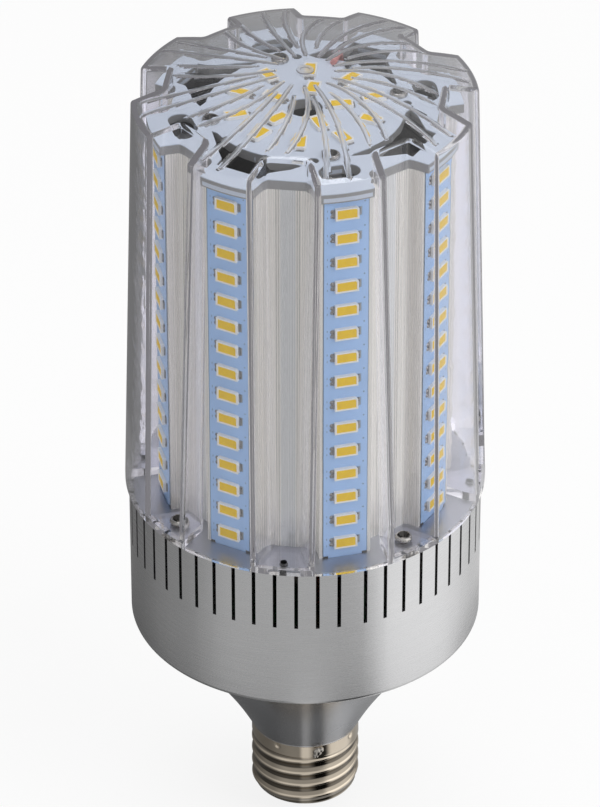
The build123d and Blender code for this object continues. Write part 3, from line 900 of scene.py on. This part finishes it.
class LAMP_OT_boards(bpy.types.Operator):
    """Finish the LED strips and the top board, and model the LED packages on them"""

    bl_idname = "lamp.boards"
    bl_label = "Boards and LEDs"

    def execute(self, context):
        sizes = context.scene.lamp_sizes
        colours = context.scene.lamp_colours
        first_row = strip_low.z + sizes.package_width / 2
        strip_mask = strip_finish(colours, first_row, sizes.package_pitch)
        coat(strip_mask, *[f"strip_board_{lobe + 1}" for lobe in range(LOBES)])
        coat(board_finish(colours), "top_board", "end_plate")

        finishes = [package_finish(colours), phosphor_finish(colours), solder_finish()]
        pattern = begin("package_pattern", bpy.ops.mesh.primitive_cube_add, size=1.0)
        for finish in finishes:
            pattern.data.materials.append(finish)
        body = (sizes.package_length, sizes.package_width, sizes.package_height)
        bpy.ops.transform.resize(value=body)
        bpy.ops.transform.translate(value=(0, 0, body[2] / 2))
        choose(pattern, "EDGE", lambda e: abs(e.verts[0].co.z - e.verts[1].co.z) > body[2] / 2
               and e.verts[0].co.x > 0 and e.verts[0].co.y > 0)
        bpy.ops.mesh.bevel(offset=0.5 * MM, segments=1)
        choose(pattern, "FACE", lambda f: f.normal.z > 0.9)
        rim = (body[1] - sizes.window_width) / 2
        bpy.ops.mesh.inset(thickness=rim)
        bpy.ops.transform.resize(value=(sizes.window_length / (body[0] - 2 * rim), 1, 1))
        bpy.ops.mesh.extrude_region_move(TRANSFORM_OT_translate={"value": (0, 0, -0.12 * MM)})
        bpy.ops.transform.resize(value=(0.96, 0.94, 1))
        paint(pattern, 1)
        for side in (-1, 1):
            bpy.ops.mesh.primitive_cube_add(size=1.0)
            bpy.ops.transform.resize(value=(0.55 * MM, 2.1 * MM, 0.24 * MM))
            bpy.ops.transform.translate(value=(side * (body[0] / 2 + 0.12 * MM), 0, 0.12 * MM))
            paint(pattern, 2)
        for rise in (-0.62, 0.62):
            bpy.ops.mesh.primitive_cone_add(
                vertices=9, radius1=0.55 * MM, radius2=0.25 * MM, depth=0.32 * MM
            )
            bpy.ops.transform.translate(value=(-body[0] / 2 - 0.5 * MM, rise * MM, 0.16 * MM))
            paint(pattern, 2)
        close_up(pattern, 30)

        across, up, out = Vector((1, 0, 0)), Vector((0, 0, 1)), Vector((0, -1, 0))
        face = -strip_high.y
        strip = []
        for row in range(15):
            place = Matrix((across, up, out)).transposed().to_4x4()
            place.translation = (0, -face, first_row + row * sizes.package_pitch)
            strip.append(copy_of(pattern, f"package_{row}", place))
        strip = join(strip, "strip_packages")
        for lobe in range(LOBES):
            piece = copy_of(strip, f"led_packages_{lobe + 1}", Matrix.Rotation(lobe * LOBE_STEP, 4, "Z"))
            hand_over(piece, finishes, "led_package", f"strip_leds_{lobe + 1}")
        remove(strip)

        top = []
        for radius, count, start in ((8.2, 5, -81.6), (16.0, 10, -73.2)):
            for index in range(count):
                turn = radians(start + index * 360 / count)
                place = Matrix.Rotation(turn, 4, "Z")
                place.translation = on_circle(radius * MM, turn, board_high.z)
                top.append(copy_of(pattern, f"package_{len(top)}", place))
        remove(pattern)
        hand_over(join(top, "led_packages_top"), finishes, "led_package", "top_leds")
        return {"FINISHED"}


class LAMP_OT_screws(bpy.types.Operator):
    """Model the pan-head screws of the top board and of the cover's feet"""

    bl_idname = "lamp.screws"
    bl_label = "Screws"

    def execute(self, context):
        sizes = context.scene.lamp_sizes
        head, rise = sizes.head_radius, sizes.head_height
        steel = steel_finish()
        brim = 0.25 * MM
        outline = [(0.05 * MM, -1.2 * MM), (1.2 * MM, -1.2 * MM), (1.2 * MM, 0), (head * 0.98, 0)]
        outline += [(head, 0.1 * MM), (head, brim)]
        for index in range(1, 7):
            bend = pi / 2 * index / 6
            outline.append((head - 0.55 * MM * (1 - cos(bend)), brim + (rise - brim) * sin(bend)))
        outline.append((0.05 * MM, rise))
        pattern = lathe("screw_pattern", outline, 40)
        close_up(pattern, 35)
        # Painted shade: near-black steel for the inside of the cross recess.
        dark = metal_finish("painted_recess_shade", (0.035, 0.033, 0.03), (0.10, 0.095, 0.09), 0.35)
        for finish in (steel, dark):
            pattern.data.materials.append(finish)
        cone = bpy.ops.mesh.primitive_cone_add
        dish = begin("dish", cone, vertices=24, radius1=0.5 * MM, radius2=2.3 * MM, depth=1.4 * MM)
        cut(pattern, set_down(dish, (0, 0, rise - 0.05 * MM)), "DIFFERENCE")
        bars = []
        for turn in (0, pi / 2):
            bar = begin(f"cross_{len(bars)}", bpy.ops.mesh.primitive_cube_add, size=1.0)
            bpy.ops.transform.resize(value=(2.9 * MM, 0.66 * MM, 1.8 * MM))
            choose(bar, "FACE", lambda f: f.normal.z < -0.9)
            bpy.ops.transform.resize(value=(0.35, 0.6, 1))
            bars.append(set_down(bar, (0, 0, rise), turn))
        for bar in bars:
            cut(pattern, bar, "DIFFERENCE")
        bpy.ops.object.mode_set(mode="EDIT")

        def in_recess(face):
            middle = face.calc_center_median()
            return hypot(*middle.xy) < 1.5 * MM and face.normal.z < 0.999 and middle.z > 0.2 * MM

        # Put the painted shade on the faces inside the recess.
        choose(pattern, "FACE", in_recess)
        paint(pattern, 1)
        bpy.ops.object.mode_set(mode="OBJECT")
        bpy.ops.object.shade_smooth_by_angle(angle=radians(35))

        groups = (
            ("board_screw_heads", "board_screws", 22.0, board_high.z, 0.0),
            ("cover_screw_heads", "cover_screws", 37.4, cover_low.z + 1.6 * MM, 22.5),
        )
        for name, node, circle, base, start in groups:
            heads = []
            for index in range(4):
                turn = radians(start + 90 * index)
                place = Matrix.Rotation(turn + radians(17 + 31 * index), 4, "Z")
                place.translation = on_circle(circle * MM, turn, base)
                heads.append(copy_of(pattern, f"{name}_{index}", place))
            hand_over(join(heads, name), [steel], "steel", node)
        remove(pattern)
        coat(steel, "deck_screws", "sink_screws", "deck_posts", "lower_posts")
        return {"FINISHED"}


class LAMP_OT_cover(bpy.types.Operator):
    """Model the clear fluted cover with its feet and swirl ribs"""

    bl_idname = "lamp.cover"
    bl_label = "Clear Cover"

    foot_floor = 33.6 * MM
    top_floor = 32.3 * MM
    foot_half = 2.7 * MM
    top_half = 4.4 * MM
    flare = radians(22.8)
    floor_round = 1.0 * MM
    foot_plate = 1.6 * MM
    rib_paths = (
        ((7.0, 3.9), (20.0, 4.6), (37.8, -0.5)),
        ((11.0, -6.5), (22.0, -4.6), (37.4, -8.4)),
        ((11.2, 16.4), (19.0, 18.0), (30.0, 13.4)),
        ((7.0, 28.5), (16.5, 31.6), (30.0, 22.0)),
    )

    def half_outline(self, share, inset, corner):
        """Half a lobe's outline, from the middle of a notch to the middle of the lobe."""
        radius = cover_high.x - COVER_DRAFT * share - inset
        floor = self.foot_floor + (self.top_floor - self.foot_floor) * share - inset
        half = self.foot_half + (self.top_half - self.foot_half) * share
        half += inset * (1 / cos(self.flare) - tan(self.flare))
        bend = self.floor_round + inset
        trim = bend / tan((pi / 2 + self.flare) / 2)
        along = Vector((cos(self.flare), sin(self.flare)))
        solid = Vector((-sin(self.flare), cos(self.flare)))
        start = Vector((floor, half))
        points = [Vector((floor, (half - trim) * k / 4)) for k in range(5)]
        center = Vector((floor + bend, half - trim))
        for k in range(1, 6):
            turn = pi - (pi / 2 - self.flare) * k / 5
            points.append(center + Vector((cos(turn), sin(turn))) * bend)
        base = start + solid * corner
        lean = base.dot(along)
        reach = -lean + sqrt(lean * lean - base.length_squared + (radius - corner) ** 2)
        wall_end = start + along * reach
        wall_start = points[-1]
        for k in range(1, 4):
            points.append(wall_start + (wall_end - wall_start) * k / 3)
        center = base + along * reach
        first = atan2(-solid.y, -solid.x)
        last = atan2(center.y, center.x)
        for k in range(1, 7):
            turn = first + (last - first) * k / 6
            points.append(center + Vector((cos(turn), sin(turn))) * corner)
        self.notch_count = len(points)
        for k in range(1, 9):
            turn = last + (LOBE_STEP / 2 - last) * k / 8
            points.append(Vector((cos(turn), sin(turn))) * radius)
        return points

    def all_round(self, half):
        """A whole ring from half a lobe's points."""
        mirror = [Vector((hypot(*p), LOBE_STEP - atan2(p.y, p.x))) for p in half[-2:0:-1]]
        polar_points = [Vector((hypot(*p), atan2(p.y, p.x))) for p in half] + mirror
        ring = []
        for lobe in range(LOBES):
            for radius, turn in polar_points:
                ring.append(Vector((radius, turn + (lobe + 0.5) * LOBE_STEP)))
        return ring

    def execute(self, context):
        sizes = context.scene.lamp_sizes
        colours = context.scene.lamp_colours
        base = cover_low.z + 0.04 * MM
        edge = cover_high.x - COVER_DRAFT
        sphere, center = dome_sphere()
        wall = sizes.cover_wall
        lean = radians(72)

        def dome(radius, inset):
            return center + sqrt((sphere - inset) ** 2 - radius**2)

        def skin(inset, low, corner, edge_round, wall_steps, dome_steps):
            """Rings of one skin, from its lower edge up to the middle of the dome."""
            rings = []
            shy = edge_round * (1 - cos(lean))
            top = self.all_round(self.half_outline(1.0, inset + shy, max(corner - shy, 0.1 * MM)))
            tops = [dome(radius, inset) for radius, turn in top]
            for k in range(wall_steps + 1):
                share = k / wall_steps
                ring = self.all_round(self.half_outline(share, inset, corner))
                rings.append([
                    on_circle(radius, turn, low + (high - edge_round * sin(lean) - low) * share)
                    for (radius, turn), high in zip(ring, tops)
                ])
            for k in range(1, 7):
                tilt = lean * k / 6
                gone = edge_round * (1 - cos(tilt))
                ring = self.all_round(self.half_outline(1.0, inset + gone, max(corner - gone, 0.1 * MM)))
                rings.append([
                    on_circle(radius, turn, high - edge_round * (sin(lean) - sin(tilt)))
                    for (radius, turn), high in zip(ring, tops)
                ])
            for k in range(1, dome_steps + 1):
                scale = 1 - k / (dome_steps + 1) * (1 - 2.3 * MM / edge)
                even = min(1, max(0, (0.75 - scale) / 0.5))
                ring = [(scale * (radius + (edge - radius) * even), turn) for radius, turn in top]
                rings.append([on_circle(radius, turn, dome(radius, inset)) for radius, turn in ring])
            return rings, top

        outer, top = skin(0.0, base + self.foot_plate, sizes.cover_corner, sizes.cover_edge, 10, 26)
        for radius, rise in ((2.0, 0.0), (1.9, 0.28), (1.15, 0.28), (1.0, 0.1), (0.3, 0.08)):
            height = dome(radius * MM, 0) + rise * MM
            outer.append([on_circle(radius * MM, turn, height) for _, turn in top])
        inner, inner_top = skin(wall, base, 0.25 * MM, 0.5 * MM, 10, 22)
        inner.append([on_circle(0.3 * MM, turn, dome(0.3 * MM, wall)) for _, turn in inner_top])

        half = self.half_outline(0.0, 0.0, sizes.cover_corner)
        last_turn = atan2(half[self.notch_count - 1].y, half[self.notch_count - 1].x)
        for k in range(self.notch_count):
            turn = last_turn * k / (self.notch_count - 1)
            half[k] = Vector((cos(turn), sin(turn))) * cover_high.x
        foot = self.all_round(half)
        plate_top = [on_circle(radius, turn, base + self.foot_plate) for radius, turn in foot]
        plate_foot = [on_circle(radius, turn, base) for radius, turn in foot]
        rings = list(reversed(outer)) + [plate_top, plate_foot] + inner
        piece = loft("clear_cover", rings)
        close_up(piece, 40)

        holes = []
        spots = []
        drill = bpy.ops.mesh.primitive_cylinder_add
        for index in range(4):
            hole = begin(f"index_hole_{index}", drill, vertices=24, radius=0.8 * MM, depth=4 * MM)
            place = on_circle(INDEX_CIRCLE, index * pi / 2 + INDEX_TURN, base)
            holes.append(set_down(hole, place))
            spots.append(place + Vector((0, 0, self.foot_plate / 2)))
        cut(piece, join(holes, "index_holes"), "DIFFERENCE")
        # Painted shade: the walls of the index holes are near black, as the shade inside the holes.
        hole_shade = moulded_finish("painted_hole_shade", (0.008, 0.008, 0.009), (0.02, 0.02, 0.022), 0.3)
        for finish in (clear_finish(colours), hole_shade):
            piece.data.materials.append(finish)
        bpy.ops.object.mode_set(mode="EDIT")

        def in_hole(face):
            middle = face.calc_center_median()
            return min((middle - spot).length for spot in spots) < 0.85 * MM

        # Put the painted hole shade on the walls of the index holes.
        choose(piece, "FACE", in_hole)
        paint(piece, 1)
        bpy.ops.object.mode_set(mode="OBJECT")

        section = (sizes.rib_width, sizes.rib_height)
        ribs = [self.swirl_rib(path, *section, sphere, center) for path in self.rib_paths]
        copies = []
        for lobe in range(LOBES):
            turn = Matrix.Rotation(lobe * LOBE_STEP, 4, "Z")
            for rib in ribs:
                copies.append(copy_of(rib, f"swirl_{len(copies)}", turn))
        for rib in ribs:
            remove(rib)
        cut(piece, join(copies, "swirl_ribs"), "UNION")
        bpy.ops.object.shade_smooth_by_angle(angle=radians(40))
        hand_over(piece, [], "clear_plastic", "cover")
        return {"FINISHED"}

    def swirl_rib(self, path, width, height, sphere, center):
        """One curved rib that stands on the dome and runs through three points."""
        first, middle, last = [on_circle(radius * MM, radians(turn), 0) for radius, turn in path]
        a, b = middle - first, last - first
        lean = Vector((b.y * a.length_squared - a.y * b.length_squared,
                       a.x * b.length_squared - b.x * a.length_squared, 0))
        hub = first + lean / (2 * (a.x * b.y - a.y * b.x))
        bow = (first - hub).length
        opening, closing = [atan2(end.y - hub.y, end.x - hub.x) for end in (first, last)]
        swing = (closing - opening + pi) % (2 * pi) - pi
        section = [(-0.5, -0.6), (-0.49, 0.2), (-0.43, 0.55), (-0.32, 0.82), (-0.17, 0.96), (0.0, 1.0)]
        section += [(-u, v) for u, v in section[-2::-1]]
        steps = 26
        rings = []
        for k in range(steps + 1):
            turn = opening + swing * k / steps
            spot = hub + Vector((cos(turn), sin(turn), 0)) * bow
            spot.z = center + sqrt(sphere**2 - spot.x**2 - spot.y**2)
            up = (spot - Vector((0, 0, center))).normalized()
            along = Vector((-sin(turn), cos(turn), 0)) * (1 if swing > 0 else -1)
            side = up.cross(along).normalized()
            fade = min(1, 0.25 + 0.75 * min(k, steps - k) / 2)
            rings.append([
                spot + side * (u * width * (0.7 + 0.3 * fade)) + up * (v * height * (fade if v > 0 else 1))
                for u, v in section
            ])
        return close_up(loft("rib", rings), 50)


class LAMP_OT_inside(bpy.types.Operator):
    """Finish the driver and the wiring inside the cup"""

    bl_idname = "lamp.inside"
    bl_label = "Driver and Wiring"

    def execute(self, context):
        moulded = (
            ("green_board", (0.02, 0.13, 0.05), (0.04, 0.19, 0.08), 0.35, "driver_board"),
            ("ferrite", (0.03, 0.03, 0.032), (0.06, 0.06, 0.062), 0.5, "transformer_core"),
            ("yellow_tape", (0.62, 0.42, 0.06), (0.75, 0.54, 0.09), 0.3,
             "transformer_winding", "film_capacitor"),
            ("capacitor_sleeve", (0.015, 0.016, 0.02), (0.03, 0.032, 0.038), 0.3,
             "bulk_capacitors", "rectifier", "power_transistor"),
            ("fuse_glaze", (0.55, 0.54, 0.50), (0.70, 0.69, 0.65), 0.25, "fuse"),
            ("red_insulation", (0.56, 0.20, 0.18), (0.68, 0.27, 0.25), 0.4, "led_lead_red"),
            ("black_insulation", (0.012, 0.012, 0.012), (0.03, 0.03, 0.03), 0.4,
             "led_lead_black", "base_lead_line"),
            ("white_insulation", (0.66, 0.66, 0.64), (0.78, 0.78, 0.76), 0.4, "base_lead_neutral"),
        )
        for name, dark, light, roughness, *nodes in moulded:
            coat(moulded_finish(name, dark, light, roughness), *nodes)
        copper = metal_finish("copper", (0.58, 0.26, 0.13), (0.78, 0.40, 0.23), 0.25)
        coat(copper, "line_choke", "strip_feed_plus", "strip_feed_minus")
        return {"FINISHED"}


class LAMP_OT_stage(bpy.types.Operator):
    """Set up the pale floor, the light tent, the soft lamps and the camera"""

    bl_idname = "lamp.stage"
    bl_label = "Stage"

    turn = radians(-15.26)
    rise = radians(33.99)
    distance = 1.3
    aim_height = 0.092
    tent_peak = 1.25
    tent_seam = (0.026, 0.034)
    floor_shine = (0.14, (-80, -25, 0.12), (-12, -3, 0.48), (4, 14, -0.34), (38, 52, 0.50),
                   (84, 108, -0.50), (150, 180, -0.26))
    dark_gap = (0.0, (10, 22, 0.38), (36, 48, -0.38))
    low_shine = (0.42, (-180, -135, -0.23), (-120, -75, 0.16), (-72, -38, 0.25), (30, 46, 0.62),
                 (82, 124, -0.46), (140, 180, -0.34))
    high_shine = (0.36, (-180, -135, -0.22), (-120, -75, 0.14), (-72, -38, 0.30), (20, 46, 0.50),
                  (82, 124, -0.56), (140, 180, -0.16))

    def shine(self, finish, bearing, steps):
        """Brightness round the lamp: a start and changes between two bearings in degrees."""
        level = steps[0]
        for first, last, change in steps[1:]:
            level = finish.ease(bearing, radians(first), radians(last), 0.0, change) + level
        return level

    def execute(self, context):
        colours = context.scene.lamp_colours
        scene = context.scene
        scene.view_settings.view_transform = "Standard"
        floor = begin("studio_floor", bpy.ops.mesh.primitive_plane_add, size=8.0)
        bpy.ops.mesh.subdivide(number_cuts=3)
        ground = packed_box[0].z
        set_down(floor, (0, 0, ground))
        finish = new_finish("studio_paper")
        fibre = finish.noise(900.0, 3.0)
        paper = finish.surface(
            base_color=finish.blend(fibre, tint(colours.floor, 0.98), colours.floor),
            roughness=finish.ease(fibre, 0.3, 0.7, 0.85, 0.95),
        )
        glow = finish.node("ShaderNodeEmission", None, {"Color": (1, 1, 1, 1), "Strength": 1.05})
        seen = background_rays(finish)
        mixed = {0: seen * 0.8, 1: paper, 2: glow}
        floor.data.materials.append(finish.show(finish.node("ShaderNodeMixShader", None, mixed)))

        hole, wall, top = 6 * MM, 0.11, 0.5
        upper, lower = ground + 0.3 * MM, ground + 0.1 * MM
        outline = [(hole, upper), (wall, upper), (wall, top)]
        outline += [(wall + 1 * MM, top), (wall + 1 * MM, lower), (hole, lower)]
        tent = lathe("light_tent", outline, 96)
        close_up(tent, 30)
        finish = new_finish("tent_cloth")
        point, x, y, z = finish.place()
        near = x * sin(self.turn) - y * cos(self.turn)
        right = x * cos(self.turn) + y * sin(self.turn)
        bearing = right.turn_from(near)
        low = self.shine(finish, bearing, self.low_shine)
        high = self.shine(finish, bearing, self.high_shine)
        flat = self.shine(finish, bearing, self.floor_shine)
        apart = finish.ease((near * near + right * right).root(), 14.5 * MM, 17 * MM)
        flat = flat - self.shine(finish, bearing, self.dark_gap) * apart
        outside = low + (high - low) * finish.ease(z, *self.tent_seam)
        outside = outside + (flat - outside) * (z < ground + 1 * MM)
        through = finish.ray("Is Transmission Ray")
        shine = outside + through * (outside * -0.3 + 0.08)
        shade = finish.blend(shine / self.tent_peak, (0.0, 0.0, 0.0), (1.0, 1.0, 1.0))
        light = finish.node("ShaderNodeEmission", None, {"Color": shade, "Strength": self.tent_peak})
        tent.data.materials.append(finish.show(light))
        tent.visible_camera = False
        tent.visible_diffuse = False
        tent.visible_shadow = False

        world = bpy.data.worlds.new("studio_room")
        scene.world = world
        world.use_nodes = True
        finish = Finish(world.node_tree)
        seen = background_rays(finish)
        room = finish.node("ShaderNodeBackground", None, {"Color": (1, 1, 1, 1), "Strength": 0.45})
        white = finish.node("ShaderNodeBackground", None, {"Color": (1, 1, 1, 1), "Strength": 1.0})
        sky = finish.node("ShaderNodeMixShader", None, {0: seen, 1: room, 2: white})
        finish.show(sky, "ShaderNodeOutputWorld")

        lamps = (
            ("key_softbox", (0.75, -0.85, 0.85), 0.7, 6.6),
            ("fill_softbox", (-0.95, -0.55, 0.55), 0.8, 1.6),
            ("top_softbox", (0.05, 0.25, 1.15), 0.8, 4.0),
        )
        aim = Vector((0, 0, 0.09))
        for name, place, size, power in lamps:
            clear_selection()
            bpy.ops.object.light_add(type="AREA", location=place)
            lamp = context.object
            lamp.name = name
            lamp.data.size = size
            lamp.data.energy = power
            lamp.rotation_euler = (aim - Vector(place)).to_track_quat("-Z", "Y").to_euler()

        clear_selection()
        bpy.ops.object.camera_add()
        camera = context.object
        camera.name = "photo_camera"
        camera.data.lens = 246.2
        camera.data.sensor_width = 36.0
        camera.data.shift_x = -0.0064
        level = cos(self.rise)
        back = Vector((sin(self.turn) * level, -cos(self.turn) * level, sin(self.rise)))
        camera.location = Vector((0, 0, self.aim_height)) + back * self.distance
        camera.rotation_euler = (-back).to_track_quat("-Z", "Y").to_euler()
        camera.data.clip_start = 0.05
        scene.camera = camera
        return {"FINISHED"}


class LAMP_PT_pieces(bpy.types.Panel):
    """Lists the lamp's pieces and what can be changed on them"""

    bl_label = "LED Lamp"
    bl_idname = "LAMP_PT_pieces"
    bl_space_type = "VIEW_3D"
    bl_region_type = "UI"
    bl_category = "LED Lamp"

    def draw(self, context):
        layout = self.layout
        for step in steps:
            layout.operator(step.bl_idname)
        for group in (context.scene.lamp_sizes, context.scene.lamp_colours):
            for name in group.bl_rna.properties.keys():
                if name not in ("rna_type", "name"):
                    layout.prop(group, name)


steps = (
    LAMP_OT_cap,
    LAMP_OT_housing,
    LAMP_OT_boards,
    LAMP_OT_screws,
    LAMP_OT_cover,
    LAMP_OT_inside,
    LAMP_OT_stage,
)
classes = (LampSizes, LampColours) + steps + (LAMP_PT_pieces,)


def register():
    for cls in classes:
        bpy.utils.register_class(cls)
    bpy.types.Scene.lamp_sizes = PointerProperty(type=LampSizes)
    bpy.types.Scene.lamp_colours = PointerProperty(type=LampColours)


def unregister():
    del bpy.types.Scene.lamp_colours
    del bpy.types.Scene.lamp_sizes
    for cls in reversed(classes):
        bpy.utils.unregister_class(cls)


def main():
    """Build everything in order."""
    register()
    bpy.ops.lamp.cap()
    bpy.ops.lamp.housing()
    bpy.ops.lamp.boards()
    bpy.ops.lamp.screws()
    bpy.ops.lamp.cover()
    bpy.ops.lamp.inside()
    bpy.ops.lamp.stage()


if __name__ == "__main__":
    main()
